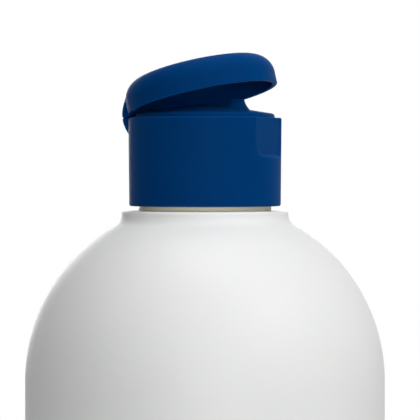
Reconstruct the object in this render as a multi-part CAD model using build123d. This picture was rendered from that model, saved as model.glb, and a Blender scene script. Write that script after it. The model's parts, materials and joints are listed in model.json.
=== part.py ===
from build123d import *
from math import asin, cos, sin, sqrt
import os

# Shampoo bottle: a round blow-moulded bottle with a domed shoulder and a 24-410 neck, closed by a
# screw-on flip-top dispensing cap. Millimetres, +Z up, origin at the centre of the base.
# The cap's front is +X and its hinge is at -X. The lid is modelled a little way open.

# ---------------------------------------------------------------- bottle: driving sizes
BODY_R = 34.0             # outer radius of the body and of the hemispherical shoulder
DOME_Z = 130.0            # height of the shoulder's centre, where the straight side ends
BODY_WALL = 1.1           # wall of the blown body
HEEL_R = 5.0              # rounding between the side and the standing ring
RING_W = 3.0              # flat width of the standing ring
PUSH_UP = 4.5             # how far the base is pushed up at its centre
RING_EDGE = 1.2           # rounding from the standing ring into the push-up

# ---------------------------------------------------------------- neck: driving sizes (24-410)
THREAD_R = 11.9           # thread crest
THREAD_DEPTH = 1.1
NECK_WALL = 1.7           # thread root to bore
NECK_H = 16.2             # sealing land above the pedestal
PITCH = 3.175             # 8 turns to the inch
THREAD_TURNS = 1.5
THREAD_ROOT_W = 2.0       # width of the neck's thread at its root
THREAD_CREST_W = 0.9      # and at its crest
THREAD_DROP = 2.6         # land to the middle of the thread's upper end
ROOT_BITE = 0.25          # how far a thread's section reaches into its own wall
BEAD_PROUD = 0.65         # neck ring under the thread, beyond the thread's crest
BEAD_H = 2.3              # height of the neck ring
BEAD_EDGE = 0.35          # rounding of the neck ring's top edge
LAND_EDGE = 0.3           # rounding of the sealing land
PEDESTAL_RISE = 2.0       # the short round step that the neck stands on, above the shoulder
PEDESTAL_LIP = 1.45       # how far the step stands out from under the cap
PEDESTAL_FILLET = 2.0     # concave blend from the step down into the shoulder
PEDESTAL_EDGE = 0.35      # rounding of the step's top edge
STEP_WALL = 1.45          # wall inside the step
STEP_ROOF = 1.55          # wall under the step's flat top

# ---------------------------------------------------------------- liner
LINER_T = 0.9             # foam ring under the cap's top
LINER_LAP = 0.3           # how far the ring reaches into the bore, and past the land outside

# ---------------------------------------------------------------- cap: driving sizes
CAP_GAP = 0.9             # neck ring that shows between the step and the skirt
SKIRT_WALL = 2.35         # wall outside the thread, at the top of the skirt
SKIRT_TAPER = 0.15        # the skirt's foot is this much smaller in radius
SKIRT_EDGE = 0.4          # rounding of the skirt's bottom edge
CAP_THREAD_CLEAR = 0.25   # radial gap outside the neck's crest and over the neck's root
CAP_FLANK_CLEAR = 0.22    # axial gap between the flanks that carry the load
CAP_THREAD_ROOT_W = 1.5
CAP_THREAD_CREST_W = 0.8
BEAD_CLEAR = 0.35         # gap from the neck ring to the skirt's counterbore
DECK_T = 1.2              # top of the cap, underside to deck edge
STEP_H = 0.75             # deck edge above the ledge that carries the lid
STEP_ROUND = 0.6          # rounding of the deck edge
LEDGE_W = 1.3             # width of that ledge
LEDGE_EDGE = 0.25         # rounding of the ledge's outer edge
DECK_RISE = 1.95          # crown of the deck, at its centre
DECK_BULGE = 1.15         # 1 for a cone, 2 for a round crown

# ---------------------------------------------------------------- spout
SPOUT_X = 6.75            # mouth of the spout in front of the cap's axis
SPOUT_LEAN = 1.0          # its base lies this much further back
SPOUT_BASE_R = 3.4
SPOUT_TOP_R = 1.45
SPOUT_H = 1.67            # lip above the deck
SPOUT_HOLLOW = 1.8        # how hollow its sides are, 1 for a straight cone
SPOUT_LIP = 0.2           # rounding of the lip
ORIFICE_R = 0.8
ORIFICE_FLARE = 0.12      # small countersink at the mouth
FUNNEL_R = 2.0            # wide part of the passage under the orifice
FUNNEL_H = 1.9            # height at which the passage is down to the orifice
FUNNEL_CONE = 0.8         # height of its tapered part

# ---------------------------------------------------------------- thumb recess
THUMB_W = 11.0
THUMB_H = 7.65            # below the ledge
THUMB_CORNER = 2.6
THUMB_FADE = 0.8          # rounding at the foot of the recess

# ---------------------------------------------------------------- hinge
HINGE_OUT = 0.2           # the line that the lid turns about, behind the top of the skirt
LID_OPEN = 13.6           # degrees open as modelled
PAD_W = 11.6              # width of the two flat pads that meet at the hinge line
PAD_LOW = 3.35            # reach of the lower pad below the hinge line
PAD_LOW_BULGE = 1.4       # how full the lower pad's fade is, 1 for a straight slope
PAD_LOW_IN = 1.5          # how far its foot lies in from the hinge line
PAD_HIGH = 4.5            # the same for the upper pad, which fades into the lid's round edge
PAD_HIGH_BULGE = 1.5
PAD_HIGH_IN = 2.2
PAD_FLAT = 0.1            # upright part of each pad beside the hinge line
PAD_ROOT = 2.5            # depth that each pad starts from, inside the walls
FILM_GAP = 0.2            # each pad stops this far short of the hinge line
FILM_T = 0.35             # thickness of the bending films
FILM_W = 3.5              # width of one film
FILM_INSET = 0.2          # film to the end of the pad
STRAP_W = 3.0             # width of the spring strap between the films
STRAP_T = 0.55
STRAP_REACH = 1.7         # reach of the strap below and above the hinge line
STRAP_SIDE = 0.25         # gap beside and behind the strap in its slot

# ---------------------------------------------------------------- lid
LID_INSET = 0.1           # lid's side inside the skirt's
LID_H = 6.2               # ledge to the top of the rounded edge
LID_CROWN = 0.3
LID_ROUND = 3.85          # rounding of the top edge
LID_WALL = 0.9
LID_TOP_T = 1.2
LID_SEAT = 0.06           # gap from rim to ledge when shut
PIN_R = 0.6               # plug pin at the orifice's mouth
PIN_TIP_R = 0.4
PIN_DEPTH = 1.0           # how far the tip enters the orifice when shut

# ---------------------------------------------------------------- labels
LABEL_T = 0.12
LABEL_W = 78.0            # along the curve
LABEL_UP = 11.0           # bottom edge above the heel
LABEL_DOWN = 18.0         # top edge below the shoulder
LABEL_CORNER = 4.0

# ---------------------------------------------------------------- places worked out from the sizes
NECK_ROOT_R = THREAD_R - THREAD_DEPTH
BORE_R = NECK_ROOT_R - NECK_WALL
BEAD_R = THREAD_R + BEAD_PROUD
CAP_MAJOR_R = THREAD_R + CAP_THREAD_CLEAR
CAP_MINOR_R = NECK_ROOT_R + CAP_THREAD_CLEAR
SKIRT_TOP_R = CAP_MAJOR_R + SKIRT_WALL
SKIRT_BOTTOM_R = SKIRT_TOP_R - SKIRT_TAPER
STEP_R = SKIRT_TOP_R - LEDGE_W
LID_R = SKIRT_TOP_R - LID_INSET
PEDESTAL_R = SKIRT_BOTTOM_R + PEDESTAL_LIP
PEDESTAL_Z = DOME_Z + sqrt(BODY_R**2 - PEDESTAL_R**2) + PEDESTAL_RISE
SKIRT_Z = PEDESTAL_Z + CAP_GAP
LAND_Z = PEDESTAL_Z + NECK_H
ROOF_Z = LAND_Z + LINER_T
LEDGE_Z = ROOF_Z + DECK_T - STEP_H
DECK_EDGE_Z = LEDGE_Z + STEP_H
HINGE_X = -SKIRT_TOP_R - HINGE_OUT
FILM_Y = (PAD_W - FILM_W) / 2 - FILM_INSET
ARC_MID = 1 - sqrt(0.5)   # how far a quarter arc's middle lies in from its corner, per radius
HINGE = Axis((HINGE_X, 0, LEDGE_Z), (0, -1, 0))


def ring_face(*points):
    """A closed outline of (radius, height) points on the XZ plane."""
    return make_face(Polyline(*[(r, 0, z) for r, z in points], close=True))


def turned(face):
    """Spin a profile on the XZ plane into a solid about Z."""
    return revolve(face, Axis.Z)


def round_at(solid, radius, z, r=None):
    """Round the circular edges at one height, or only the one of radius r."""
    near = 0.02
    picked = [
        e
        for e in solid.edges().filter_by(GeomType.CIRCLE)
        if abs(e.center().Z - z) < near and (r is None or abs(e.radius - r) < near)
    ]
    return fillet(picked, radius)


def thread_ridge(root_r, crest_r, root_w, crest_w, low_z):
    """A helical ridge from root_r to crest_r, its middle starting at low_z over +X."""
    path = Helix(pitch=PITCH, height=THREAD_TURNS * PITCH, radius=root_r)
    path = path.moved(Location((0, 0, low_z)))
    inward = -1 if crest_r > root_r else 1
    slope = (root_w - crest_w) / 2 / abs(crest_r - root_r)
    foot_w = root_w + 2 * ROOT_BITE * slope
    foot_r = root_r + inward * ROOT_BITE
    section = make_face(
        Polyline(
            (foot_r, 0, low_z - foot_w / 2),
            (crest_r, 0, low_z - crest_w / 2),
            (crest_r, 0, low_z + crest_w / 2),
            (foot_r, 0, low_z + foot_w / 2),
            close=True,
        )
    )
    return sweep(section, path=path, is_frenet=True)


# ---------------------------------------------------------------- bottle
def shoulder_blend(sphere_r, step_r, blend_r):
    """Centre height and the two tangent points of a concave blend between a step and the dome."""
    centre_r = step_r + blend_r
    centre_z = DOME_Z + sqrt((sphere_r + blend_r) ** 2 - centre_r**2)
    share = sphere_r / (sphere_r + blend_r)
    foot = (centre_r * share, DOME_Z + (centre_z - DOME_Z) * share)
    return centre_z, foot, (step_r, centre_z)


def dome_arc(sphere_r, foot):
    """Quarter-like arc of the shoulder from the side up to the foot of the blend."""
    rise = asin((foot[1] - DOME_Z) / sphere_r) / 2
    middle = (sphere_r * cos(rise), 0, DOME_Z + sphere_r * sin(rise))
    return ThreePointArc((sphere_r, 0, DOME_Z), middle, (foot[0], 0, foot[1]))


def floor_arc(offset):
    """The pushed-up base as an arc, raised by offset, and the radius where it meets the ring."""
    ring_in = BODY_R - HEEL_R - RING_W
    base_r = (ring_in**2 + PUSH_UP**2) / (2 * PUSH_UP)
    centre_z = PUSH_UP - base_r
    arc_r = base_r + offset
    end = sqrt(arc_r**2 - (offset - centre_z) ** 2)
    half = asin(end / arc_r) / 2
    middle = (arc_r * sin(half), 0, centre_z + arc_r * cos(half))
    return ThreePointArc((0, 0, PUSH_UP + offset), middle, (end, 0, offset)), end


def make_bottle():
    # Outer surface, from the axis under the base round to the neck.
    ring_out = BODY_R - HEEL_R
    push_up, ring_in = floor_arc(0)
    blend_z, foot, step = shoulder_blend(BODY_R, PEDESTAL_R, PEDESTAL_FILLET)
    swing = asin((blend_z - foot[1]) / PEDESTAL_FILLET) / 2
    turn = (
        PEDESTAL_R + PEDESTAL_FILLET * (1 - cos(swing)),
        0,
        blend_z - PEDESTAL_FILLET * sin(swing),
    )
    heel_mid = HEEL_R * ARC_MID
    outer = [
        push_up,
        Line((ring_in, 0, 0), (ring_out, 0, 0)),
        ThreePointArc((ring_out, 0, 0), (BODY_R - heel_mid, 0, heel_mid), (BODY_R, 0, HEEL_R)),
        Line((BODY_R, 0, HEEL_R), (BODY_R, 0, DOME_Z)),
        dome_arc(BODY_R, foot),
        ThreePointArc((foot[0], 0, foot[1]), turn, (step[0], 0, step[1])),
        Polyline(
            (step[0], 0, step[1]),
            (PEDESTAL_R, 0, PEDESTAL_Z),
            (BEAD_R, 0, PEDESTAL_Z),
            (BEAD_R, 0, PEDESTAL_Z + BEAD_H),
            (NECK_ROOT_R, 0, PEDESTAL_Z + BEAD_H),
            (NECK_ROOT_R, 0, LAND_Z),
            (0, 0, LAND_Z),
            (0, 0, PUSH_UP),
        ),
    ]
    body = turned(make_face(outer))
    body = round_at(body, RING_EDGE, 0, r=ring_in)
    body = round_at(body, PEDESTAL_EDGE, PEDESTAL_Z, r=PEDESTAL_R)
    body = round_at(body, BEAD_EDGE, PEDESTAL_Z + BEAD_H, r=BEAD_R)

    low = LAND_Z - THREAD_DROP - THREAD_TURNS * PITCH
    body = body + thread_ridge(NECK_ROOT_R, THREAD_R, THREAD_ROOT_W, THREAD_CREST_W, low)

    # Inner surface: the same shapes one wall further in, and the bore of the neck.
    inner_r = BODY_R - BODY_WALL
    step_in = PEDESTAL_R - STEP_WALL
    hollow_foot_z = DOME_Z + sqrt(inner_r**2 - step_in**2)
    roof_z = PEDESTAL_Z - STEP_ROOF
    floor, floor_in = floor_arc(BODY_WALL)
    inner_heel = HEEL_R - BODY_WALL
    inner_mid = inner_heel * ARC_MID
    inner = [
        floor,
        Line((floor_in, 0, BODY_WALL), (inner_r - inner_heel, 0, BODY_WALL)),
        ThreePointArc(
            (inner_r - inner_heel, 0, BODY_WALL),
            (inner_r - inner_mid, 0, BODY_WALL + inner_mid),
            (inner_r, 0, HEEL_R),
        ),
        Line((inner_r, 0, HEEL_R), (inner_r, 0, DOME_Z)),
        dome_arc(inner_r, (step_in, hollow_foot_z)),
        Polyline(
            (step_in, 0, hollow_foot_z),
            (step_in, 0, roof_z),
            (BORE_R, 0, roof_z),
            (BORE_R, 0, LAND_Z),
            (0, 0, LAND_Z),
            (0, 0, PUSH_UP + BODY_WALL),
        ),
    ]
    body = body - turned(make_face(inner))
    return round_at(body, LAND_EDGE, LAND_Z)


# ---------------------------------------------------------------- liner
def make_liner():
    hole_r = BORE_R - LINER_LAP
    outer_r = NECK_ROOT_R + LINER_LAP
    return turned(
        ring_face((hole_r, LAND_Z), (outer_r, LAND_Z), (outer_r, ROOF_Z), (hole_r, ROOF_Z))
    )


# ---------------------------------------------------------------- cap
def deck_height(r):
    """Height of the crowned deck at a distance from the cap's axis."""
    return DECK_EDGE_Z + DECK_RISE * (1 - (r / STEP_R) ** DECK_BULGE)


def make_pad(reach, bulge, inset, away):
    """A pad on the back, away +1 above the hinge line or -1 below it, fading into the side."""
    flat = FILM_GAP + PAD_FLAT
    fade = []
    for share in (0, 0.25, 0.5, 0.75, 1):
        height = flat + share * (reach - flat)
        fade.append((HINGE_X + inset * share**bulge, 0, LEDGE_Z + away * height))
    hinge_z = LEDGE_Z + away * FILM_GAP
    root_x = HINGE_X + PAD_ROOT
    side = make_face(
        [
            Polyline(fade[-1], (root_x, 0, fade[-1][2]), (root_x, 0, hinge_z)),
            Polyline((root_x, 0, hinge_z), (HINGE_X, 0, hinge_z), fade[0]),
            Spline(*fade),
        ]
    )
    return extrude(side, amount=PAD_W / 2, dir=(0, 1, 0), both=True)


def strap_slot(z0, z1):
    """Slot for the spring strap between two heights, open to the back."""
    width = STRAP_W + 2 * STRAP_SIDE
    depth = STRAP_T + STRAP_SIDE
    centre = Location((HINGE_X, 0, (z0 + z1) / 2))
    return Box(2 * depth, width, z1 - z0).moved(centre)


def make_spout():
    """The raised spout, a hollow-sided cone that leans to the front, and its upright passage."""
    foot_z = deck_height(SPOUT_X - SPOUT_LEAN + SPOUT_BASE_R)
    top_z = deck_height(SPOUT_X) + SPOUT_H
    sections = []
    for rise in (0, 0.2, 0.4, 0.6, 0.8, 1):
        spread = (1 - rise) ** SPOUT_HOLLOW
        radius = SPOUT_TOP_R + (SPOUT_BASE_R - SPOUT_TOP_R) * spread
        centre = (SPOUT_X - SPOUT_LEAN * spread, 0, foot_z + rise * (top_z - foot_z))
        sections.append(Plane(centre) * Circle(radius))
    cone = loft(sections)
    cone = fillet(cone.faces().sort_by(Axis.Z)[-1].edges(), SPOUT_LIP)
    foot = Cylinder(
        SPOUT_BASE_R, foot_z - ROOF_Z, align=(Align.CENTER, Align.CENTER, Align.MIN)
    ).moved(Location((SPOUT_X - SPOUT_LEAN, 0, ROOF_Z)))
    passage = turned(
        ring_face(
            (0, ROOF_Z),
            (FUNNEL_R, ROOF_Z),
            (FUNNEL_R, ROOF_Z + FUNNEL_H - FUNNEL_CONE),
            (ORIFICE_R, ROOF_Z + FUNNEL_H),
            (ORIFICE_R, top_z - ORIFICE_FLARE),
            (ORIFICE_R + ORIFICE_FLARE, top_z),
            (0, top_z),
        )
    ).moved(Location((SPOUT_X, 0, 0)))
    return foot + cone, passage


def make_cap_base():
    edge_r = STEP_R - STEP_ROUND
    edge_z = deck_height(edge_r)
    bend = STEP_ROUND * ARC_MID
    crown = Spline(
        *[(edge_r * share, 0, deck_height(edge_r * share)) for share in (1, 0.75, 0.5, 0.25, 0)],
        tangents=[(-1, 0, DECK_RISE * DECK_BULGE / STEP_R), (-1, 0, 0)],
    )
    outline = [
        Polyline(
            (0, 0, DECK_EDGE_Z + DECK_RISE),
            (0, 0, SKIRT_Z),
            (SKIRT_BOTTOM_R, 0, SKIRT_Z),
            (SKIRT_TOP_R, 0, LEDGE_Z),
            (STEP_R, 0, LEDGE_Z),
            (STEP_R, 0, edge_z - STEP_ROUND),
        ),
        ThreePointArc(
            (STEP_R, 0, edge_z - STEP_ROUND),
            (STEP_R - bend, 0, edge_z - bend),
            (edge_r, 0, edge_z),
        ),
        crown,
    ]
    cap = turned(make_face(outline))
    cap = round_at(cap, SKIRT_EDGE, SKIRT_Z)
    cap = round_at(cap, LEDGE_EDGE, LEDGE_Z, r=SKIRT_TOP_R)

    cone, passage = make_spout()
    cap = cap + cone + make_pad(PAD_LOW, PAD_LOW_BULGE, PAD_LOW_IN, -1)

    # The inside: room for the neck, wider at the foot for the neck ring.
    bead_room = BEAD_R + BEAD_CLEAR
    bead_top = PEDESTAL_Z + BEAD_H + BEAD_CLEAR
    cap = cap - turned(
        ring_face(
            (0, SKIRT_Z),
            (bead_room, SKIRT_Z),
            (bead_room, bead_top),
            (CAP_MAJOR_R, bead_top + bead_room - CAP_MAJOR_R),
            (CAP_MAJOR_R, ROOF_Z),
            (0, ROOF_Z),
        )
    )
    cap = cap - passage

    # The thread hangs under the neck's thread, turn for turn.
    crest_gap = (THREAD_CREST_W + CAP_THREAD_ROOT_W) / 2 + CAP_FLANK_CLEAR
    root_gap = (THREAD_ROOT_W + CAP_THREAD_CREST_W) / 2 + CAP_FLANK_CLEAR
    low = LAND_Z - THREAD_DROP - THREAD_TURNS * PITCH - max(crest_gap, root_gap)
    ridge = thread_ridge(CAP_MAJOR_R, CAP_MINOR_R, CAP_THREAD_ROOT_W, CAP_THREAD_CREST_W, low)
    cap = cap + ridge

    # Thumb recess in the front of the skirt, a flat pocket with a rounded foot.
    floor_x = sqrt(SKIRT_TOP_R**2 - (THUMB_W / 2) ** 2)
    pocket = Box(
        SKIRT_TOP_R, THUMB_W, 2 * THUMB_H, align=(Align.MIN, Align.CENTER, Align.CENTER)
    ).moved(Location((floor_x, 0, LEDGE_Z)))
    pocket = fillet(pocket.edges().filter_by(Axis.X), THUMB_CORNER)
    pocket = fillet(
        [
            e
            for e in pocket.faces().sort_by(Axis.X)[0].edges()
            if e.center().Z < LEDGE_Z - THUMB_H / 2
        ],
        THUMB_FADE,
    )
    cap = cap - pocket
    return cap - strap_slot(LEDGE_Z - STRAP_REACH, LEDGE_Z)


# ---------------------------------------------------------------- lid
def make_lid():
    rim_z = LEDGE_Z + LID_SEAT
    edge_z = LEDGE_Z + LID_H
    bend = LID_ROUND * ARC_MID
    outline = [
        Line((0, 0, rim_z), (LID_R, 0, rim_z)),
        Line((LID_R, 0, rim_z), (LID_R, 0, edge_z - LID_ROUND)),
        ThreePointArc(
            (LID_R, 0, edge_z - LID_ROUND),
            (LID_R - bend, 0, edge_z - bend),
            (LID_R - LID_ROUND, 0, edge_z),
        ),
        Spline(
            (LID_R - LID_ROUND, 0, edge_z),
            (0, 0, edge_z + LID_CROWN),
            tangents=[(-1, 0, 0), (-1, 0, 0)],
        ),
        Line((0, 0, edge_z + LID_CROWN), (0, 0, rim_z)),
    ]
    lid = turned(make_face(outline))
    lid = lid + make_pad(PAD_HIGH, PAD_HIGH_BULGE, PAD_HIGH_IN, 1)

    inner_r = LID_R - LID_WALL
    inner_top = edge_z - LID_TOP_T
    inner_round = LID_ROUND - LID_WALL
    hollow = turned(
        ring_face((0, rim_z), (inner_r, rim_z), (inner_r, inner_top), (0, inner_top))
    )
    hollow = round_at(hollow, inner_round, inner_top)
    lid = lid - hollow
    lid = lid - strap_slot(LEDGE_Z, LEDGE_Z + STRAP_REACH)

    # Plug pin over the orifice.
    spout_top = deck_height(SPOUT_X) + SPOUT_H
    pin = turned(
        ring_face(
            (0, spout_top - PIN_DEPTH),
            (PIN_TIP_R, spout_top - PIN_DEPTH),
            (PIN_R, spout_top),
            (PIN_R * 2, inner_top),
            (PIN_R * 2, inner_top + LID_TOP_T / 2),
            (0, inner_top + LID_TOP_T / 2),
        )
    ).moved(Location((SPOUT_X, 0, 0)))
    return (lid + pin).rotate(HINGE, LID_OPEN)


# ---------------------------------------------------------------- hinge strips
def make_strip(reach, thick, width, y):
    """A strip across the hinge line, bent there by the angle that the lid stands open."""
    half = Box(thick, width, reach, align=(Align.CENTER, Align.CENTER, Align.MAX))
    lower = half.moved(Location((HINGE_X + thick / 2, y, LEDGE_Z)))
    upper = half.moved(Location((HINGE_X + thick / 2, y, LEDGE_Z + reach))).rotate(HINGE, LID_OPEN)
    knuckle = Cylinder(thick / 2, width, rotation=(90, 0, 0)).moved(
        Location((HINGE_X + thick / 2, y, LEDGE_Z))
    )
    return lower + upper + knuckle


# ---------------------------------------------------------------- labels
def make_label(side):
    """A thin film on the straight side, side +1 for the front and -1 for the back."""
    low_z = HEEL_R + LABEL_UP
    height = DOME_Z - LABEL_DOWN - low_z
    half_angle = LABEL_W / BODY_R / 2
    sheet = Cylinder(
        BODY_R + LABEL_T, height, align=(Align.CENTER, Align.CENTER, Align.MIN)
    ) - Cylinder(BODY_R, height, align=(Align.CENTER, Align.CENTER, Align.MIN))
    chord = 2 * BODY_R * sin(half_angle)
    window = Box(BODY_R * 2, chord, height, align=(Align.MIN, Align.CENTER, Align.MIN))
    window = fillet(window.edges().filter_by(Axis.X), LABEL_CORNER)
    if side < 0:
        window = window.rotate(Axis.Z, 180)
    return (sheet & window).moved(Location((0, 0, low_z)))


os.makedirs("parts", exist_ok=True)
nodes = {
    "bottle": make_bottle(),
    "sealing_liner": make_liner(),
    "cap_base": make_cap_base(),
    "lid": make_lid(),
    "hinge_film_left": make_strip(FILM_GAP, FILM_T, FILM_W, -FILM_Y),
    "hinge_film_right": make_strip(FILM_GAP, FILM_T, FILM_W, FILM_Y),
    "hinge_spring_strap": make_strip(STRAP_REACH, STRAP_T, STRAP_W, 0),
    "front_label": make_label(1),
    "back_label": make_label(-1),
}
for name, shape in nodes.items():
    shape.label = name
    export_step(shape, f"parts/{name}.step")
    print(name, len(shape.solids()), round(shape.volume, 2))
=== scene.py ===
import json
import math

import bpy
import numpy as np
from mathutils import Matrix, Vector


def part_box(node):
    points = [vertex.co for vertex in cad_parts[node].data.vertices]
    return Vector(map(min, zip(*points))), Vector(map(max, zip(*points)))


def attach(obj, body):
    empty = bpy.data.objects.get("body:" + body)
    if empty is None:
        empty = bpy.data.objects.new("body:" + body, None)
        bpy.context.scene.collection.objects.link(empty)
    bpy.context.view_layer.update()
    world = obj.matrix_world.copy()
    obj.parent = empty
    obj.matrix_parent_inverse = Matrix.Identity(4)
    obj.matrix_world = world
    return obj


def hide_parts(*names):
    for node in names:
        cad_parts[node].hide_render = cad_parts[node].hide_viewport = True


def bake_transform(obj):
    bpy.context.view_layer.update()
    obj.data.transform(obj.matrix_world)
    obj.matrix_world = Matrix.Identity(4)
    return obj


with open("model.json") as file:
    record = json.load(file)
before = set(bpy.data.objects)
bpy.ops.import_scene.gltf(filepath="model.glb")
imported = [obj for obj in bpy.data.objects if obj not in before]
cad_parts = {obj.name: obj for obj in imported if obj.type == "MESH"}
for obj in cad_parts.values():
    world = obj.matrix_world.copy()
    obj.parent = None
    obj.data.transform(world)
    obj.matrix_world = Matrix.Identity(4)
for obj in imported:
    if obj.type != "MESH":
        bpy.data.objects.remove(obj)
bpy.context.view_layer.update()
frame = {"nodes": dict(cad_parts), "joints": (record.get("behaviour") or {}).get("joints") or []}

# ------------------------------------------------------------------ camera, backdrop and floor
# A long lens close to level, a little above the shoulder, looks at the top half of the bottle.
# The bottle stands on a pale round table that fades into a white surround.
mm = 0.001
view_azimuth = math.radians(28.0)      # from the -Y side, turned towards the spout
camera_distance = 394.0 * mm
camera_height = 168.5 * mm
look_down = math.radians(0.909)
look_right = math.radians(0.138)
lens_in_image_widths = 4.952

scene = bpy.context.scene
scene.view_settings.view_transform = "Standard"
camera = bpy.data.objects.new("camera", bpy.data.cameras.new("camera"))
scene.collection.objects.link(camera)
scene.camera = camera
camera.data.sensor_width = 36.0
camera.data.lens = lens_in_image_widths * camera.data.sensor_width
camera.data.clip_start = 10.0 * mm
camera.location = (
    camera_distance * math.sin(view_azimuth),
    -camera_distance * math.cos(view_azimuth),
    camera_height,
)
camera.rotation_euler = (math.pi / 2 - look_down, 0.0, view_azimuth - look_right)


class Signal:
    """A value, colour or vector on its way through a material's nodes."""

    def __init__(self, tree, socket=None):
        self.tree = tree
        self.socket = socket

    def node(self, kind, settings=None, sockets=None, out=0):
        """Add a node: its settings first, then the values or links of its sockets."""
        made = self.tree.nodes.new(kind)
        for key, value in (settings or {}).items():
            setattr(made, key, value)
        for key, value in (sockets or {}).items():
            if isinstance(value, Signal):
                self.tree.links.new(value.socket, made.inputs[key])
            else:
                made.inputs[key].default_value = value
        return Signal(self.tree, made.outputs[out])

    def math(self, operation, first, second=0.0):
        return self.node("ShaderNodeMath", {"operation": operation}, {0: first, 1: second})

    def __add__(self, other):
        return self.math("ADD", self, other)

    def __radd__(self, other):
        return self.math("ADD", other, self)

    def __sub__(self, other):
        return self.math("SUBTRACT", self, other)

    def __rsub__(self, other):
        return self.math("SUBTRACT", other, self)

    def __mul__(self, other):
        return self.math("MULTIPLY", self, other)

    def __rmul__(self, other):
        return self.math("MULTIPLY", other, self)

    def step(self, low, high):
        """0 below low, 1 above high, smooth between them."""
        return self.node(
            "ShaderNodeMapRange",
            {"interpolation_type": "SMOOTHSTEP", "clamp": True},
            {"Value": self, "From Min": low, "From Max": high},
        )

    def mix(self, first, second):
        """Colour first where this is 0, second where it is 1."""
        settings = {"data_type": "RGBA"}
        return self.node("ShaderNodeMix", settings, {0: self, 6: first, 7: second}, out=2)

    def noise(self, scale, detail=2.0):
        """Fine noise about 0.5, read at this point, at a scale in cells per metre."""
        sockets = {"Vector": self, "Scale": scale, "Detail": detail}
        return self.node("ShaderNodeTexNoise", None, sockets)


def seen_by_rays(start):
    """1 for the camera's own rays, reflected rays and rays sent on through clear plastic, else 0."""
    rays = [start.node("ShaderNodeLightPath", out=k) for k in (0, 3, 6)]
    return rays[0].math("MAXIMUM", rays[0], rays[1].math("MAXIMUM", rays[1], rays[2]))


def new_material(name):
    """An empty material's first signal and its output node."""
    material = bpy.data.materials.new(name)
    material.use_nodes = True
    material.node_tree.nodes.clear()
    output = material.node_tree.nodes.new("ShaderNodeOutputMaterial")
    return material, Signal(material.node_tree), output


table_radius = 1000.0 * mm
table_fade_from = 90.0 * mm
table_fade_to = 650.0 * mm
table_glow = 0.4                       # how far the table looks white even beside the bottle
table_columns = 96
table_rings = [0.0, 0.2, 0.4, 0.7, 1.0]
table_points = []
for share in table_rings[1:]:
    for column in range(table_columns):
        turn = 2 * math.pi * column / table_columns
        reach = share * table_radius
        table_points.append((reach * math.cos(turn), reach * math.sin(turn), 0.0))
table_faces = [tuple(range(table_columns))]
for ring in range(len(table_rings) - 2):
    for column in range(table_columns):
        after = (column + 1) % table_columns
        low = ring * table_columns
        high = low + table_columns
        table_faces.append((low + column, high + column, high + after, low + after))
table_mesh = bpy.data.meshes.new("table")
table_mesh.from_pydata(table_points, [], table_faces)
table = bpy.data.objects.new("table", table_mesh)
scene.collection.objects.link(table)

table_material, start, output = new_material("table_pale")
point = start.node("ShaderNodeTexCoord", out=3)
reach = point.node("ShaderNodeVectorMath", {"operation": "LENGTH"}, {0: point}, out=1)
seen = seen_by_rays(start)
matt = start.node("ShaderNodeBsdfDiffuse", None, {"Color": (0.88, 0.88, 0.88, 1.0)})
white = start.node("ShaderNodeEmission", None, {"Color": (1, 1, 1, 1), "Strength": 1.0})
fade = seen * (table_glow + (1 - table_glow) * reach.step(table_fade_from, table_fade_to))
surface = start.node("ShaderNodeMixShader", None, {0: fade, 1: matt, 2: white})
table_material.node_tree.links.new(surface.socket, output.inputs["Surface"])
table_mesh.materials.append(table_material)

# ------------------------------------------------------------------ bottle
# Blow-moulded polyethylene, one shell: a pushed-up base with a standing ring, a straight round
# side, a hemispherical shoulder, a short round step and a threaded neck with a neck ring.
bottle_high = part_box("bottle")[1]
body_r = bottle_high.x
land_z = bottle_high.z
dome_z = 130.0 * mm
body_wall = 1.1 * mm
heel_r = 5.0 * mm
ring_width = 3.0 * mm
push_up = 4.5 * mm
neck_height = 16.2 * mm
pedestal_z = land_z - neck_height
pedestal_r = 15.8 * mm
pedestal_blend = 2.0 * mm
neck_ring_r = 12.55 * mm
neck_ring_height = 2.3 * mm
neck_root_r = 10.8 * mm
neck_bore_r = 9.1 * mm
step_wall = 1.45 * mm                  # of the round step under the neck
step_roof = 1.55 * mm
step_inside = 2.5 * mm
standing_round = 1.2 * mm
ring_round = 0.35 * mm
lip_round = 0.3 * mm
root_round = 0.2 * mm
bore_round = 0.6 * mm
bottle_columns = 288
ring_in = body_r - heel_r - ring_width
base_r = (ring_in**2 + push_up**2) / (2 * push_up)


def arc(centre_r, centre_z, radius, start_angle, end_angle, count):
    """Points (r, z) on an arc, angles in degrees from outwards, turning up."""
    angles = np.radians(np.linspace(start_angle, end_angle, count + 1))
    return [(centre_r + radius * math.cos(a), centre_z + radius * math.sin(a)) for a in angles]


def rounded(corners, steps=5, guard=0.25 * mm):
    """An open outline through (r, z, rounding) corners, with guard points beside each arc."""
    outline = []
    count = len(corners)
    for index, (r, z, rounding) in enumerate(corners):
        here = np.array((r, z))
        if index in (0, count - 1) or rounding == 0:
            outline.append(tuple(here))
            continue
        back = np.array(corners[index - 1][:2]) - here
        ahead = np.array(corners[index + 1][:2]) - here
        back_length = np.linalg.norm(back)
        ahead_length = np.linalg.norm(ahead)
        back = back / back_length
        ahead = ahead / ahead_length
        half_turn = math.acos(max(-1.0, min(1.0, float(back @ ahead)))) / 2
        set_off = rounding / math.tan(half_turn)
        centre = here + (back + ahead) / np.linalg.norm(back + ahead) * (
            rounding / math.sin(half_turn)
        )
        first = here + back * set_off - centre
        last = here + ahead * set_off - centre
        if back_length > set_off + 2 * guard:
            outline.append(tuple(here + back * (set_off + guard)))
        for step in range(steps + 1):
            share = step / steps
            sweep = math.pi - 2 * half_turn
            blend = (
                first * math.sin((1 - share) * sweep) + last * math.sin(share * sweep)
            ) / math.sin(sweep)
            outline.append(tuple(centre + blend))
        if ahead_length > set_off + 2 * guard:
            outline.append(tuple(here + ahead * (set_off + guard)))
    return outline


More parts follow.
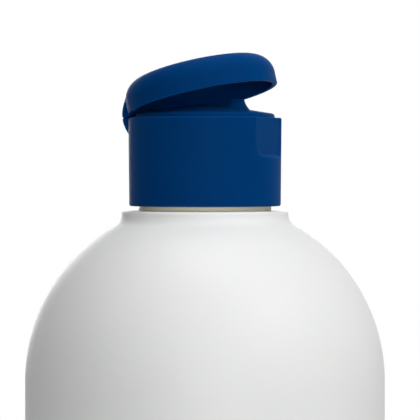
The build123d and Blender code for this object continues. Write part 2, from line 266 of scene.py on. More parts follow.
def filled(outline, longest):
    """The same outline with long runs divided, so that no step is longer than longest."""
    points = [outline[0]]
    for before, after in zip(outline, outline[1:]):
        run = math.dist(before, after)
        if run < 1e-7:
            continue
        pieces = max(1, math.ceil(run / longest))
        for piece in range(1, pieces + 1):
            share = piece / pieces
            points.append(tuple(np.array(before) * (1 - share) + np.array(after) * share))
    return points


def shell(name, rings, wraps=False):
    """A closed smooth skin through rings of points, which wraps round or ends in two poles."""
    rings = np.asarray(rings, float)
    ring_count, columns = rings.shape[:2]
    points = rings.reshape(-1, 3)
    row = np.arange(ring_count if wraps else ring_count - 1)[:, None]
    column = np.arange(columns)[None, :]
    after = (column + 1) % columns
    above = (row + 1) % ring_count
    quads = np.stack(
        [
            row * columns + column,
            row * columns + after,
            above * columns + after,
            above * columns + column,
        ],
        axis=-1,
    ).reshape(-1, 4)
    faces = quads.tolist()
    if not wraps:
        first_pole = len(points)
        points = np.vstack([points, rings[0].mean(axis=0), rings[-1].mean(axis=0)])
        last_row = (ring_count - 1) * columns
        for c in range(columns):
            following = (c + 1) % columns
            faces.append((first_pole, following, c))
            faces.append((first_pole + 1, last_row + c, last_row + following))
    corners = points[np.array([f[:3] for f in faces])]
    volume = np.einsum("ij,ij->i", corners[:, 0], np.cross(corners[:, 1], corners[:, 2])).sum()
    fourth = points[quads[:, [0, 2, 3]]]
    volume += np.einsum("ij,ij->i", fourth[:, 0], np.cross(fourth[:, 1], fourth[:, 2])).sum()
    if volume < 0:
        faces = [tuple(reversed(f)) for f in faces]
    mesh = bpy.data.meshes.new(name)
    mesh.from_pydata(points.tolist(), [], faces)
    mesh.polygons.foreach_set("use_smooth", [True] * len(mesh.polygons))
    mesh.update()
    piece = bpy.data.objects.new(name, mesh)
    scene.collection.objects.link(piece)
    return piece


def lathe(outline, columns):
    """Rings of points from an (r, z) outline turned about the bottle's axis."""
    turn = np.linspace(0, 2 * math.pi, columns, endpoint=False)
    return [
        np.stack([r * np.cos(turn), r * np.sin(turn), np.full(columns, z)], axis=-1)
        for r, z in outline
    ]


def base_outline(lift):
    """Underside of the pushed-up base, or its inside when lifted by the wall."""
    centre_z = push_up - base_r
    arc_r = base_r + lift
    end_r = math.sqrt(arc_r**2 - (lift - centre_z) ** 2)
    reach = np.linspace(0.02, 1.0, 18) * end_r
    return [(r, centre_z + math.sqrt(arc_r**2 - r**2)) for r in reach]


underside = base_outline(0.0)
blend_z = dome_z + math.sqrt(
    (body_r + pedestal_blend) ** 2 - (pedestal_r + pedestal_blend) ** 2
)
blend_angle = math.degrees(math.asin((blend_z - dome_z) / (body_r + pedestal_blend)))
outside = (
    rounded(
        [
            (*underside[-3], 0),
            (*underside[-1], standing_round),
            (body_r - heel_r, 0.0, 0),
        ],
        steps=8,
    )
    + arc(body_r - heel_r, heel_r, heel_r, -88, 0, 14)
    + arc(0.0, dome_z, body_r, 0, blend_angle, 46)
    + arc(pedestal_r + pedestal_blend, blend_z, pedestal_blend, 180 + blend_angle, 180, 9)[1:]
    + rounded(
        [
            (pedestal_r, blend_z + 0.1 * mm, 0),
            (pedestal_r, pedestal_z, ring_round),
            (neck_ring_r, pedestal_z, root_round),
            (neck_ring_r, pedestal_z + neck_ring_height, ring_round),
            (neck_root_r, pedestal_z + neck_ring_height, root_round),
            (neck_root_r, land_z, lip_round),
            (neck_bore_r, land_z, lip_round),
            (neck_bore_r, pedestal_z - step_roof, bore_round),
            (pedestal_r - step_wall, pedestal_z - step_roof, lip_round),
            (pedestal_r - step_wall, pedestal_z - step_inside, 0),
        ]
    )
)
inner_r = body_r - body_wall
inner_step_angle = math.degrees(math.acos((pedestal_r - step_wall) / inner_r))
inner_floor = base_outline(body_wall)
inside = (
    arc(0.0, dome_z, inner_r, inner_step_angle, 0, 30)
    + arc(body_r - heel_r, heel_r, heel_r - body_wall, 0, -90, 8)
    + inner_floor[::-1]
)
bottle_outline = filled(underside[:-3] + outside + inside, 6.0 * mm)
bottle = shell("bottle_shell", lathe(bottle_outline, bottle_columns))


def plastic(name, look, constants):
    """A moulded plastic. look gets the object's own point and gives the sockets that vary."""
    material, start, output = new_material(name)
    point = start.node("ShaderNodeTexCoord", out=3)
    varying, bump_height, bump_depth = look(point)
    varying["Normal"] = start.node(
        "ShaderNodeBump", None, {"Strength": 1.0, "Distance": bump_depth, "Height": bump_height}
    )
    shader = start.node("ShaderNodeBsdfPrincipled", None, {**constants, **varying})
    material.node_tree.links.new(shader.socket, output.inputs["Surface"])
    return material


def axes_of(point):
    """The three coordinates of a point as signals."""
    return [point.node("ShaderNodeSeparateXYZ", None, {0: point}, out=k) for k in range(3)]


def bottle_look(point):
    """White satin body; the neck and its ring are the uncoloured, slightly yellow plastic, their
    colour also set lighter as painted light against the shade under the cap's skirt.
    """
    x, y, z = axes_of(point)
    squared = x * x + y * y
    from_axis = squared.math("SQRT", squared)
    neck = z.step(pedestal_z + 0.02 * mm, pedestal_z + 0.12 * mm) * (
        1 - from_axis.step(neck_ring_r + 0.15 * mm, neck_ring_r + 0.5 * mm)
    )
    cloud = point.noise(28.0)
    grain = point.noise(1400.0, 3.0)
    body_white = cloud.mix((0.835, 0.835, 0.825, 1.0), (0.865, 0.865, 0.86, 1.0))
    # Painted light: the neck's cream is set lighter than the plastic to make up for the shade under
    # the cap's skirt.
    colour = neck.mix(body_white, (0.97, 0.90, 0.68, 1.0))
    roughness = 0.45 + 0.05 * cloud
    return {"Base Color": colour, "Roughness": roughness}, grain, 0.006 * mm


bottle_plastic = plastic(
    "bottle_plastic",
    bottle_look,
    {
        "IOR": 1.5,
        "Specular IOR Level": 0.3,
        "Subsurface Weight": 0.35,
        "Subsurface Radius": (1.0, 0.9, 0.75),
        "Subsurface Scale": 2.0 * mm,
    },
)
bottle.data.materials.append(bottle_plastic)
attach(bottle, "bottle")
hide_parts("bottle")

# ------------------------------------------------------------------ bottle: screw thread
# One and a half turns of a trapezoidal ridge stand on the neck above its ring, blown with it.
# The same tree of nodes later makes the thread that is moulded inside the cap.
thread_pitch = 3.175 * mm
thread_turns = 1.5
thread_crest_r = 11.9 * mm
thread_root_width = 2.0 * mm
thread_crest_width = 0.9 * mm
thread_drop = 2.6 * mm


def thread_nodes():
    """A helical ridge on a round wall, its ends running out into the wall."""
    tree = bpy.data.node_groups.new("screw_thread", "GeometryNodeTree")
    names = ("Turns", "Pitch", "Wall Radius", "Height", "Root Width", "Crest Width", "Start")
    for name in names:
        tree.interface.new_socket(name, in_out="INPUT", socket_type="NodeSocketFloat")
    tree.interface.new_socket("Plastic", in_out="INPUT", socket_type="NodeSocketMaterial")
    tree.interface.new_socket("Thread", in_out="OUTPUT", socket_type="NodeSocketGeometry")
    given = tree.nodes.new("NodeGroupInput")
    size = {name: Signal(tree, given.outputs[name]) for name in names + ("Plastic",)}
    start = Signal(tree)
    path = start.node(
        "GeometryNodeCurveSpiral",
        None,
        {
            "Resolution": 160,
            "Rotations": size["Turns"],
            "Start Radius": size["Wall Radius"],
            "End Radius": size["Wall Radius"],
            "Height": size["Turns"] * size["Pitch"],
            "Reverse": True,
        },
    )
    path = start.node("GeometryNodeSetCurveNormal", {"mode": "Z_UP"}, {"Curve": path})
    corners = {}
    for number, out, width, side in (
        (1, "foot", "Root Width", -0.5),
        (2, "crest", "Crest Width", -0.5),
        (3, "crest", "Crest Width", 0.5),
        (4, "foot", "Root Width", 0.5),
    ):
        reach = size["Height"] if out == "crest" else -0.25 * size["Height"]
        corner = {0: reach, 1: size[width] * side}
        corners[f"Point {number}"] = start.node("ShaderNodeCombineXYZ", None, corner)
    section = start.node("GeometryNodeCurvePrimitiveQuadrilateral", {"mode": "POINTS"}, corners)
    section = start.node(
        "GeometryNodeFilletCurve",
        {"mode": "POLY"},
        {"Curve": section, "Radius": 0.15 * mm, "Count": 3},
    )
    along = start.node("GeometryNodeSplineParameter")
    run_out = along.step(0.0, 0.06) * (1 - along.step(0.94, 1.0))
    ridge = start.node(
        "GeometryNodeCurveToMesh",
        None,
        {
            "Curve": path,
            "Profile Curve": section,
            "Scale": 0.05 + 0.95 * run_out,
            "Fill Caps": True,
        },
    )
    lift = start.node("ShaderNodeCombineXYZ", None, {2: size["Start"]})
    ridge = start.node("GeometryNodeTransform", None, {"Geometry": ridge, "Translation": lift})
    ridge = start.node("GeometryNodeRealizeInstances", None, {"Geometry": ridge})
    sockets = {"Geometry": ridge, "Material": size["Plastic"]}
    ridge = start.node("GeometryNodeSetMaterial", None, sockets)
    output = tree.nodes.new("NodeGroupOutput")
    tree.links.new(ridge.socket, output.inputs["Thread"])
    return tree


thread_tree = thread_nodes()


def make_thread(name, sizes):
    """A plain mesh of a thread, from the tree and its named sizes."""
    carrier = bpy.data.objects.new(name + "_carrier", bpy.data.meshes.new(name + "_carrier"))
    scene.collection.objects.link(carrier)
    modifier = carrier.modifiers.new("thread", "NODES")
    modifier.node_group = thread_tree
    for item in thread_tree.interface.items_tree:
        if item.in_out == "INPUT":
            modifier[item.identifier] = sizes[item.name]
    graph = bpy.context.evaluated_depsgraph_get()
    mesh = bpy.data.meshes.new_from_object(carrier.evaluated_get(graph))
    bpy.data.objects.remove(carrier)
    mesh.name = name
    if sizes["Height"] < 0:
        # A ridge that stands inwards comes out of the tree inside out.
        mesh.flip_normals()
    mesh.shade_smooth()
    mesh.set_sharp_from_angle(angle=math.radians(40))
    thread = bpy.data.objects.new(name, mesh)
    scene.collection.objects.link(thread)
    return thread


neck_thread = make_thread(
    "neck_thread",
    {
        "Turns": thread_turns,
        "Pitch": thread_pitch,
        "Wall Radius": neck_root_r,
        "Height": thread_crest_r - neck_root_r,
        "Root Width": thread_root_width,
        "Crest Width": thread_crest_width,
        "Start": land_z - thread_drop - thread_turns * thread_pitch,
        "Plastic": bottle_plastic,
    },
)
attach(neck_thread, "bottle")
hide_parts("bottle")

# ------------------------------------------------------------------ bottle: pinch-off
# Where the mould closed on the parison it leaves a low welded line across the pushed-up base.
pinch_half_length = 15.0 * mm
pinch_half_width = 0.45 * mm
pinch_proud = 0.3 * mm
rings = []
for share in np.sin(np.linspace(-0.5, 0.5, 61) * math.pi * 0.99):
    y = share * pinch_half_length
    turn = np.linspace(0, 2 * math.pi, 12, endpoint=False)
    swell = math.sqrt(1 - share**2) ** 0.5
    height = push_up - base_r + math.sqrt(base_r**2 - y**2)
    x = pinch_half_width * swell * np.cos(turn)
    rings.append(np.stack([x, y + 0 * turn, height + pinch_proud * swell * np.sin(turn)], axis=-1))
pinch_off = shell("pinch_off", rings)
pinch_off.data.materials.append(bottle_plastic)
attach(pinch_off, "bottle")
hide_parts("bottle")

# ------------------------------------------------------------------ labels
# Two bare films, front and back, stuck to the straight side with rounded corners.
# Each is cut a little short of half of the way round, and its edge is square.
label_corner = 4.0 * mm
label_bevel = 0.02 * mm


def label_look(point):
    """Slightly glossier and whiter than the body, with the fine grain of calendered film."""
    cloud = point.noise(60.0)
    grain = point.noise(2600.0, 2.0)
    colour = cloud.mix((0.86, 0.865, 0.87, 1.0), (0.89, 0.895, 0.90, 1.0))
    return {"Base Color": colour, "Roughness": 0.26 + 0.06 * cloud}, grain, 0.003 * mm


label_film = plastic("label_film", label_look, {"IOR": 1.46})


def make_label(name, node, facing):
    """A film over the place of its CAD node. facing is +1 at the front and -1 at the back."""
    low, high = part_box(node)
    film_r = max(abs(low.x), abs(high.x))
    half_width = math.asin(high.y / film_r) * film_r
    half_height = (high.z - low.z) / 2
    middle_z = (high.z + low.z) / 2
    across = np.linspace(-half_width, half_width, 81)
    rings = []
    inset = np.abs(across) - (half_width - label_corner)
    drop = label_corner - np.sqrt(np.maximum(label_corner**2 - np.maximum(inset, 0) ** 2, 0))
    edge = half_height - drop
    turn = across / film_r + (0 if facing > 0 else math.pi)
    bevel_r = film_r - label_bevel
    levels = [(1.0, body_r, 0.0), (1.0, bevel_r, 0.0), (1.0, film_r, label_bevel)]
    levels += [(share, film_r, 0.0) for share in np.linspace(0.96, -0.96, 25)]
    levels += [(-1.0, film_r, label_bevel), (-1.0, bevel_r, 0.0), (-1.0, body_r, 0.0)]
    for share, radius, shrink in levels:
        height = middle_z + np.sign(share) * (np.abs(share) * edge - shrink)
        rings.append(np.stack([radius * np.cos(turn), radius * np.sin(turn), height], axis=-1))
    rings = np.array(rings)
    rows, columns = rings.shape[:2]
    points = rings.reshape(-1, 3)
    faces = []
    for row in range(rows):
        above = (row + 1) % rows
        for column in range(columns - 1):
            here = row * columns + column
            there = above * columns + column
            faces.append((here, there, there + 1, here + 1))
    faces.append(tuple(row * columns for row in range(rows))[::-1])
    faces.append(tuple(row * columns + columns - 1 for row in range(rows)))
    mesh = bpy.data.meshes.new(name)
    mesh.from_pydata(points.tolist(), [], faces)
    mesh.update()
    piece = bpy.data.objects.new(name, mesh)
    scene.collection.objects.link(piece)
    piece.data.materials.append(label_film)
    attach(piece, "bottle")
    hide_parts(node)


make_label("front_label_film", "front_label", 1)
make_label("back_label_film", "back_label", -1)

# ------------------------------------------------------------------ sealing liner
# A ring of white polyethylene foam between the neck's land and the underside of the cap.
# Its CAD shape is right, so only its finish is made here.


def liner_look(point):
    """Matt white foam with fine closed cells."""
    cells = point.node("ShaderNodeTexVoronoi", None, {"Vector": point, "Scale": 2600.0})
    cloud = point.noise(120.0)
    colour = cloud.mix((0.78, 0.78, 0.75, 1.0), (0.86, 0.86, 0.84, 1.0))
    return {"Base Color": colour, "Roughness": 0.8 + 0.1 * cells}, cells, 0.05 * mm


liner_foam = plastic("liner_foam", liner_look, {"IOR": 1.4})
liner = frame["nodes"]["sealing_liner"]
liner.data.materials.clear()
liner.data.materials.append(liner_foam)

# ------------------------------------------------------------------ cap base
# Injection-moulded polypropylene: a smooth skirt, a ledge that the lid sits on, a crowned deck
# with a raised spout off its centre, a thumb recess at the front and the lower hinge pad behind.
cap_low, cap_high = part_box("cap_base")
hinge = next(j for j in frame["joints"] if j["name"] == "lid_hinge")
hinge_x, _, ledge_z = hinge["pos_m"]
skirt_z = cap_low.z
skirt_top_r = 14.5 * mm
skirt_bottom_r = 14.35 * mm
step_height = 0.75 * mm
ledge_width = 1.3 * mm
deck_rise = 1.95 * mm
deck_bulge = 1.15
roof_thick = 1.2 * mm
roof_round = 0.3 * mm
roof_z = ledge_z + step_height - roof_thick
spout_x = 6.75 * mm
spout_lean = 1.0 * mm
spout_hollow = 1.8
spout_base_r = 3.4 * mm
spout_top_r = 1.45 * mm
orifice_r = 0.8 * mm
funnel_r = 2.0 * mm
funnel_height = 1.1 * mm
throat_height = 1.9 * mm
throat_round = 0.1 * mm
orifice_round = 0.15 * mm
lip_edge_round = 0.2 * mm
cap_thread_r = 12.15 * mm
roof_edge_r = cap_thread_r - 1.0 * mm
ring_room_r = neck_ring_r + 0.35 * mm  # the skirt's foot is wider inside, round the neck ring
ring_room_height = 1.75 * mm
ring_room_top = 2.5 * mm
pad_half = 5.8 * mm
pad_gap = 0.2 * mm
pad_flat = 0.1 * mm
lower_pad_reach = 3.35 * mm
lower_pad_bulge = 1.4
lower_pad_inset = 1.5 * mm
strap_thick = 0.55 * mm
strap_side = 0.25 * mm
strap_half = 1.5 * mm + strap_side
strap_reach = 1.7 * mm
strap_depth = strap_thick + strap_side
thumb_half = 5.5 * mm
thumb_height = 7.65 * mm
thumb_corner = 2.6 * mm
step_r = skirt_top_r - ledge_width
deck_z = ledge_z + step_height


def smooth(x, low, high):
    """0 below low, 1 above high, smooth between them."""
    share = np.clip((x - low) / (high - low), 0, 1)
    return share * share * (3 - 2 * share)


def feature_columns(*edges):
    """Angles round the cap in radians, close together near each edge, given in degrees."""
    angles = set(np.round(np.arange(0, 360, 1.5), 4))
    for edge in edges:
        for offset in (-1.2, -0.8, -0.5, -0.3, -0.1, 0.1, 0.3, 0.5, 0.8, 1.2):
            angles.add(round((edge + offset) % 360, 4))
    kept = []
    for angle in sorted(angles):
        if not kept or angle - kept[-1] > 0.15:
            kept.append(angle)
    return np.radians(kept)


def pocket(radius, turn, z, floor_x, half_width, foot_z, corner, fade):
    """Cut a flat-floored pocket, open at the top, into a wall of the given radius."""
    ahead = np.cos(turn)
    floor = floor_x / np.maximum(ahead, 0.2)
    side = np.abs(radius * np.sin(turn)) - half_width + corner
    down = foot_z - z + corner
    distance = (
        np.hypot(np.maximum(side, 0), np.maximum(down, 0))
        + np.minimum(np.maximum(side, down), 0)
        - corner
    )
    inside = smooth(-distance, 0, fade) * (ahead > 0.2)
    return radius - np.maximum(radius - floor, 0) * inside


def with_pad(radius, turn, height, reach, bulge, inset):
    """Raise a hinge pad at the back of a wall, at a height up or down from the hinge line."""
    share = np.clip((height - pad_gap - pad_flat) / (reach - pad_gap - pad_flat), 0, 1)
    out = -hinge_x - inset * share**bulge
    ahead = np.maximum(-np.cos(turn), 0.2)
    aside = np.maximum(np.abs(np.sin(turn)), 1e-6)
    proud = np.minimum(out / ahead, pad_half / aside)
    present = smooth(height, pad_gap - 0.03 * mm, pad_gap + 0.05 * mm)
    present = present * (height < reach) * (np.cos(turn) < -0.5)
    return radius + np.maximum(proud - radius, 0) * present


def skirt_radius(turn, z):
    """Outer radius of the skirt, with the pad, the strap's slot and the thumb recess."""
    share = np.clip((z - skirt_z) / (ledge_z - skirt_z), 0, 1)
    radius = skirt_bottom_r + (skirt_top_r - skirt_bottom_r) * share + 0 * turn
    down = ledge_z - z
    radius = with_pad(radius, turn, down, lower_pad_reach, lower_pad_bulge, lower_pad_inset)
    slot_floor = -hinge_x - strap_depth
    slot_foot = ledge_z - strap_reach
    radius = pocket(
        radius, turn + math.pi, z, slot_floor, strap_half, slot_foot, 0.2 * mm, 0.15 * mm
    )
    thumb_floor = math.sqrt(skirt_top_r**2 - thumb_half**2)
    thumb_foot = ledge_z - thumb_height
    return pocket(radius, turn, z, thumb_floor, thumb_half, thumb_foot, thumb_corner, 0.9 * mm)


def ring(turn, centre_x, radius, z):
    """One ring of points about a centre on the X axis."""
    radius = radius + 0 * turn
    z = z + 0 * turn
    return np.stack([centre_x + radius * np.cos(turn), radius * np.sin(turn), z], axis=-1)


def deck_height(points):
    """Height of the crowned deck under each point."""
    from_axis = np.hypot(points[:, 0], points[:, 1])
    return deck_z + deck_rise * (1 - (from_axis / step_r) ** deck_bulge)


pad_angle = math.degrees(math.atan(pad_half / -hinge_x))
slot_angle = math.degrees(math.asin(strap_half / -hinge_x))
thumb_angle = math.degrees(math.asin(thumb_half / skirt_top_r))
turn = feature_columns(
    180 - pad_angle - 1.0,
    180 + pad_angle + 1.0,
    180 - slot_angle,
    180 + slot_angle,
    thumb_angle,
    -thumb_angle,
)

spout_z = cap_high.z
spout_foot_x = spout_x - spout_lean
spout_foot_z = deck_z + deck_rise * (1 - ((spout_foot_x + spout_base_r) / step_r) ** deck_bulge)


def spout_points(rise):
    """Points round the spout at a share of its height, or at one share for each of its lines."""
    spread = (1 - rise) ** spout_hollow
    radius = spout_top_r + (spout_base_r - spout_top_r) * spread
    height = spout_foot_z + rise * (spout_z - spout_foot_z)
    return ring(turn, spout_x - spout_lean * spread, radius, height)


# Up the passage and over the lip.
lip_share = 0.85
under_lip = spout_points(lip_share)[0]
rings = []
for radius, z in rounded(
    [
        (funnel_r, roof_z, 0),
        (funnel_r, roof_z + funnel_height, throat_round),
        (orifice_r, roof_z + throat_height, throat_round),
        (orifice_r, spout_z, orifice_round),
        (spout_top_r, spout_z, lip_edge_round),
        (under_lip[0] - spout_x, under_lip[2], 0),
    ],
    steps=4,
    guard=0.08 * mm,
)[:-1]:
    rings.append(ring(turn, spout_x, radius, z))
# Down the hollow-sided cone, each line as far as the deck, which meets it higher at the back.
buried = np.zeros(len(turn))
clear = np.full(len(turn), lip_share)
for _ in range(20):
    middle = (buried + clear) / 2
    points = spout_points(middle)
    under = points[:, 2] < deck_height(points)
    buried = np.where(under, middle, buried)
    clear = np.where(under, clear, middle)
for share in np.linspace(0, 1, 15):
    rings.append(spout_points(lip_share + (clear - lip_share) * share))
# Across the deck to its rounded edge.
edge_round = 0.6 * mm
spout_foot = rings[-1]
deck_edge = ring(turn, 0.0, step_r - edge_round, 0.0)
for share in (0.015, 0.04, 0.08, *np.linspace(0.13, 1, 15)):
    points = spout_foot + (deck_edge - spout_foot) * share
    points[:, 2] = deck_height(points)
    rings.append(points)
edge_z = deck_z + deck_rise * (1 - ((step_r - edge_round) / step_r) ** deck_bulge)
for radius, z in arc(step_r - edge_round, edge_z - edge_round, edge_round, 80, 0, 6):
    rings.append(ring(turn, 0.0, radius, z))
ledge_fillet = 0.12 * mm
ledge_in = step_r + ledge_fillet
for radius, z in arc(ledge_in, ledge_z + ledge_fillet, ledge_fillet, 180, 270, 3):
    rings.append(ring(turn, 0.0, radius, z))
# The ledge, its rounded outer edge and the skirt down to its foot.
ledge_round = 0.25 * mm
outer = skirt_radius(turn, ledge_z)
for share in (0.3, 0.6, 0.9):
    rings.append(ring(turn, 0.0, ledge_in + share * (outer - ledge_round - ledge_in), ledge_z))
for _, z in arc(0.0, -ledge_round, ledge_round, 90, 0, 4):
    level = ledge_z + z
    inset = ledge_round - math.sqrt(max(ledge_round**2 - (z + ledge_round) ** 2, 0))
    rings.append(ring(turn, 0.0, skirt_radius(turn, ledge_z - ledge_round) - inset, level))
foot_round = 0.4 * mm
foot_inner_round = 0.2 * mm
# In mm below the ledge: closer together where the pad, the strap's slot and the recess end.
levels = np.concatenate(
    [
        np.arange(0.28, 0.44, 0.03),
        np.arange(0.5, 1.5, 0.12),
        np.arange(1.55, 1.90, 0.05),
        np.arange(2.0, 6.4, 0.2),
        np.arange(6.5, 8.0, 0.08),
        np.arange(8.3, (ledge_z - skirt_z - foot_round) / mm, 0.6),
    ]
)
for below in levels:
    rings.append(ring(turn, 0.0, skirt_radius(turn, ledge_z - below * mm), ledge_z - below * mm))
for radius, z in rounded(
    [
        (skirt_bottom_r, skirt_z + 0.5 * mm, 0),
        (skirt_bottom_r, skirt_z, foot_round),
        (ring_room_r, skirt_z, foot_inner_round),
        (ring_room_r, skirt_z + ring_room_height, 0),
        (cap_thread_r, skirt_z + ring_room_top, 0),
        (cap_thread_r, roof_z, roof_round),
        (roof_edge_r, roof_z, 0),
    ]
):
    rings.append(ring(turn, 0.0, radius, z))
# Back across the underside to the passage.
for share in np.linspace(0, 1, 9)[1:-1]:
    radius = roof_edge_r + (funnel_r - roof_edge_r) * share
    rings.append(ring(turn, spout_x * share, radius, roof_z))
cap_base = shell("cap_base_shell", rings, wraps=True)


def cap_look(point):
    """Dark blue, evenly coloured, with a fine moulded grain and faint handling haze."""
    cloud = point.noise(90.0, 3.0)
    grain = point.noise(3200.0, 2.0)
    colour = cloud.mix((0.0, 0.041, 0.168, 1.0), (0.0, 0.045, 0.180, 1.0))
    return {"Base Color": colour, "Roughness": 0.46 + 0.08 * cloud}, grain, 0.004 * mm


cap_plastic = plastic(
    "cap_plastic",
    cap_look,
    {
        "IOR": 1.49,
        "Specular IOR Level": 0.012,
        "Subsurface Weight": 0.8,
        "Subsurface Radius": (0.1, 0.75, 1.0),
        "Subsurface Scale": 2.6 * mm,
    },
)
cap_base.data.materials.append(cap_plastic)
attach(cap_base, "closure")
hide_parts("cap_base")

# ------------------------------------------------------------------ cap base: screw thread
# The thread moulded inside the skirt follows the neck's, turn for turn. It hangs just under it,
# so that turning the closure down pulls the liner onto the neck.
cap_thread_height = 1.1 * mm
cap_thread_root_width = 1.5 * mm
cap_thread_crest_width = 0.8 * mm
thread_play = 0.22 * mm
thread_gap = thread_play + max(
    (thread_crest_width + cap_thread_root_width) / 2,
    (thread_root_width + cap_thread_crest_width) / 2,
)
cap_thread = make_thread(
    "cap_thread",
    {
        "Turns": thread_turns,
        "Pitch": thread_pitch,
        "Wall Radius": cap_thread_r,
        "Height": -cap_thread_height,
        "Root Width": cap_thread_root_width,
        "Crest Width": cap_thread_crest_width,
        "Start": land_z - thread_drop - thread_turns * thread_pitch - thread_gap,
        "Plastic": cap_plastic,
    },
)
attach(cap_thread, "closure")
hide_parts("cap_base")

# ------------------------------------------------------------------ lid
# The shallow dome of the same moulding: thin wall, rounded top edge, the upper hinge pad at the
# back and, inside, the tapered pin that plugs the orifice. It is shaped shut, then turned open.
lid_r = 14.4 * mm
lid_height = 6.2 * mm
lid_crown = 0.3 * mm
lid_round = 3.85 * mm
lid_wall = 0.9 * mm
lid_top = 1.2 * mm
lid_seat = 0.06 * mm
upper_pad_reach = 4.5 * mm
upper_pad_bulge = 1.5
upper_pad_inset = 2.2 * mm
rim_round = 0.18 * mm
inner_rim_round = 0.1 * mm
pin_root_r = 1.5 * mm
pin_shoulder_r = 1.15 * mm
pin_r = 0.6 * mm
pin_tip_r = 0.4 * mm
pin_depth = 1.0 * mm
lid_open = -math.radians(hinge["range_deg"][0])
lid_top_z = ledge_z + lid_height


def lid_side(radius, turn, z):
    """Outer radius of the lid's side, with the upper pad and the strap's slot."""
    up = z - ledge_z
    radius = with_pad(radius, turn, up, upper_pad_reach, upper_pad_bulge, upper_pad_inset)
    slot_floor = -hinge_x - strap_depth
    # The slot is open downwards, so the pocket is cut upside down.
    return pocket(
        radius,
        turn + math.pi,
        -z,
        slot_floor,
        strap_half,
        -(ledge_z + strap_reach),
        0.2 * mm,
        0.15 * mm,
    )


turn = feature_columns(
    180 - pad_angle - 1.0,
    180 + pad_angle + 1.0,
    180 - slot_angle,
    180 + slot_angle,
)
rim_z = ledge_z + lid_seat
rings = []
crown_r = lid_r - lid_round
for share in np.linspace(0.03, 1, 14):
    rings.append(ring(turn, 0.0, crown_r * share, lid_top_z + lid_crown * (1 - share**2)))
shoulder_z = lid_top_z - lid_round
for radius, z in arc(crown_r, shoulder_z, lid_round, 86, 4, 24):
    rings.append(ring(turn, 0.0, lid_side(radius, turn, z), z))
for share in np.concatenate([np.linspace(0, 0.7, 14), np.linspace(0.73, 1, 16)]):
    z = shoulder_z + (rim_z + rim_round - shoulder_z) * share
    rings.append(ring(turn, 0.0, lid_side(lid_r, turn, z), z))
rim_r = lid_side(lid_r, turn, rim_z + rim_round)
for angle in (30, 60, 90):
    inset = rim_round * (1 - math.cos(math.radians(angle)))
    drop = rim_round * math.sin(math.radians(angle))
    rings.append(ring(turn, 0.0, rim_r - inset, rim_z + rim_round - drop))
inner_r = lid_r - lid_wall
for angle in (90, 45, 0):
    inset = inner_rim_round * (1 - math.cos(math.radians(angle)))
    drop = inner_rim_round * math.sin(math.radians(angle))
    rings.append(ring(turn, 0.0, inner_r + inset, rim_z + inner_rim_round - drop))
inner_top = lid_top_z - lid_top
inner_round = lid_round - lid_wall
rings.append(ring(turn, 0.0, inner_r, rim_z + 0.3 * mm))
for radius, z in arc(inner_r - inner_round, inner_top - inner_round, inner_round, 0, 90, 14):
    rings.append(ring(turn, 0.0, radius, z))
# In across the ceiling to the pin, then down to its tip.
ceiling_r = inner_r - inner_round
for share in np.linspace(0, 1, 12)[1:]:
    radius = ceiling_r + (pin_root_r - ceiling_r) * share
    rings.append(ring(turn, spout_x * share, radius, inner_top))
for radius, z in rounded(
    [
        (pin_root_r, inner_top, 0),
        (pin_shoulder_r, inner_top, 0.15 * mm),
        (pin_r, spout_z, 0.3 * mm),
        (pin_tip_r, spout_z - pin_depth, 0.12 * mm),
        (0.05 * mm, spout_z - pin_depth, 0),
    ],
    guard=0.06 * mm,
)[1:]:
    rings.append(ring(turn, spout_x, radius, z))


def opened(points):
    """Points of the shut lid, turned about the hinge line to where the lid stands at rest."""
    turned = np.array(points, float)
    x = turned[..., 0] - hinge_x
    z = turned[..., 2] - ledge_z
    turned[..., 0] = hinge_x + x * math.cos(lid_open) - z * math.sin(lid_open)
    turned[..., 2] = ledge_z + x * math.sin(lid_open) + z * math.cos(lid_open)
    return turned


lid = shell("lid_shell", opened(rings))
lid.data.materials.append(cap_plastic)
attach(lid, "lid")
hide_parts("lid")

# ------------------------------------------------------------------ living hinge
# Two thin films and a thicker spring strap between them, all of one moulding with the cap.
# They bend about the hinge line, so each is a strip that turns smoothly from base to lid.
film_thick = 0.35 * mm
film_bend = 0.35 * mm
longest_blend = 0.9 * mm


def make_strip(name, node, thick, reach, half_width, middle_y):
    """A strip across the hinge line with rounded edges, lower half upright, upper half open."""
    edge = thick * 0.3
    around = rounded(
        [
            (thick / 2, 0.0, 0),
            (thick / 2, half_width, edge),
            (-thick / 2, half_width, edge),
            (-thick / 2, -half_width, edge),
            (thick / 2, -half_width, edge),
            (thick / 2, 0.0, 0),
        ],
        steps=3,
        guard=0.05 * mm,
    )[:-1]
    around = np.array(around)
    rings = []
    for height in np.linspace(-reach, reach, 41):
        points = np.stack(
            [
                hinge_x + thick / 2 + around[:, 0],
                middle_y + around[:, 1],
                np.full(len(around), ledge_z + height),
            ],
            axis=-1,
        )
        share = float(smooth(height, -film_bend, film_bend))
        x = points[:, 0] - hinge_x
        z = points[:, 2] - ledge_z
        angle = lid_open * share
        points[:, 0] = hinge_x + x * math.cos(angle) - z * math.sin(angle)
        points[:, 2] = ledge_z + x * math.sin(angle) + z * math.cos(angle)
        rings.append(points)
    strip = shell(name, rings)
    strip.data.materials.append(cap_plastic)
    bend = min(reach * 0.9, longest_blend)
    start = Vector((hinge_x, middle_y, ledge_z - bend))
    end = Vector((hinge_x, middle_y, ledge_z + bend))
    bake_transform(strip)
    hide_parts(node)


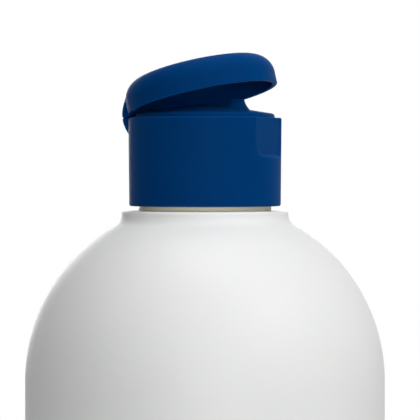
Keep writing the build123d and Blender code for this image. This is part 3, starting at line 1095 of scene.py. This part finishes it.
for name, node in (("film_left", "hinge_film_left"), ("film_right", "hinge_film_right")):
    low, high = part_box(node)
    middle_y = (low.y + high.y) / 2
    make_strip(name, node, film_thick, pad_gap, (high.y - low.y) / 2, middle_y)
low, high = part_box("hinge_spring_strap")
make_strip("spring_strap", "hinge_spring_strap", strap_thick, strap_reach, high.y, 0.0)

# ------------------------------------------------------------------ light
# A key box high on the right, one overhead, and a wide low one each in front of and behind the
# table. The surround adds very little light and is itself seen as white.
world = bpy.data.worlds.new("surround")
scene.world = world
world.use_nodes = True
world.node_tree.nodes.clear()
start = Signal(world.node_tree)
seen = seen_by_rays(start)
lit = start.node("ShaderNodeBackground", None, {"Color": (1, 1, 1, 1), "Strength": 0.05})
clear = start.node("ShaderNodeBackground", None, {"Color": (1, 1, 1, 1), "Strength": 1.0})
surround = start.node("ShaderNodeMixShader", None, {0: seen, 1: lit, 2: clear})
world_output = world.node_tree.nodes.new("ShaderNodeOutputWorld")
world.node_tree.links.new(surround.socket, world_output.inputs["Surface"])

light_target = Vector((0.0, 0.0, 160.0 * mm))
view_right = Vector((math.cos(view_azimuth), math.sin(view_azimuth), 0.0))
towards_camera = Vector((math.sin(view_azimuth), -math.cos(view_azimuth), 0.0))


def soft_box(name, right, up, near, distance, width, height, power):
    """A rectangular soft box, placed by its direction from the cap as the camera sees it."""
    direction = view_right * right + Vector((0, 0, up)) + towards_camera * near
    direction.normalize()
    lamp = bpy.data.objects.new(name, bpy.data.lights.new(name, "AREA"))
    lamp.data.shape = "RECTANGLE"
    lamp.data.size = width
    lamp.data.size_y = height
    lamp.data.energy = power
    lamp.location = light_target + direction * distance
    lamp.rotation_euler = direction.to_track_quat("Z", "Y").to_euler()
    lamp.visible_camera = False
    scene.collection.objects.link(lamp)


# The direction's right, up and towards the camera, then distance, width and height in metres
# and the power in watts.
soft_box("key_box", 0.607, 0.626, 0.493, 0.75, 0.45, 0.45, 2.3)
soft_box("top_box", 0.0, 1.0, 0.05, 0.75, 0.45, 0.45, 2.9)
soft_box("front_box", 0.1, 0.03, 1.0, 1.6, 0.96, 0.6, 9.7)
soft_box("back_box", -0.12, 0.12, -1.0, 1.6, 0.96, 0.6, 9.0)
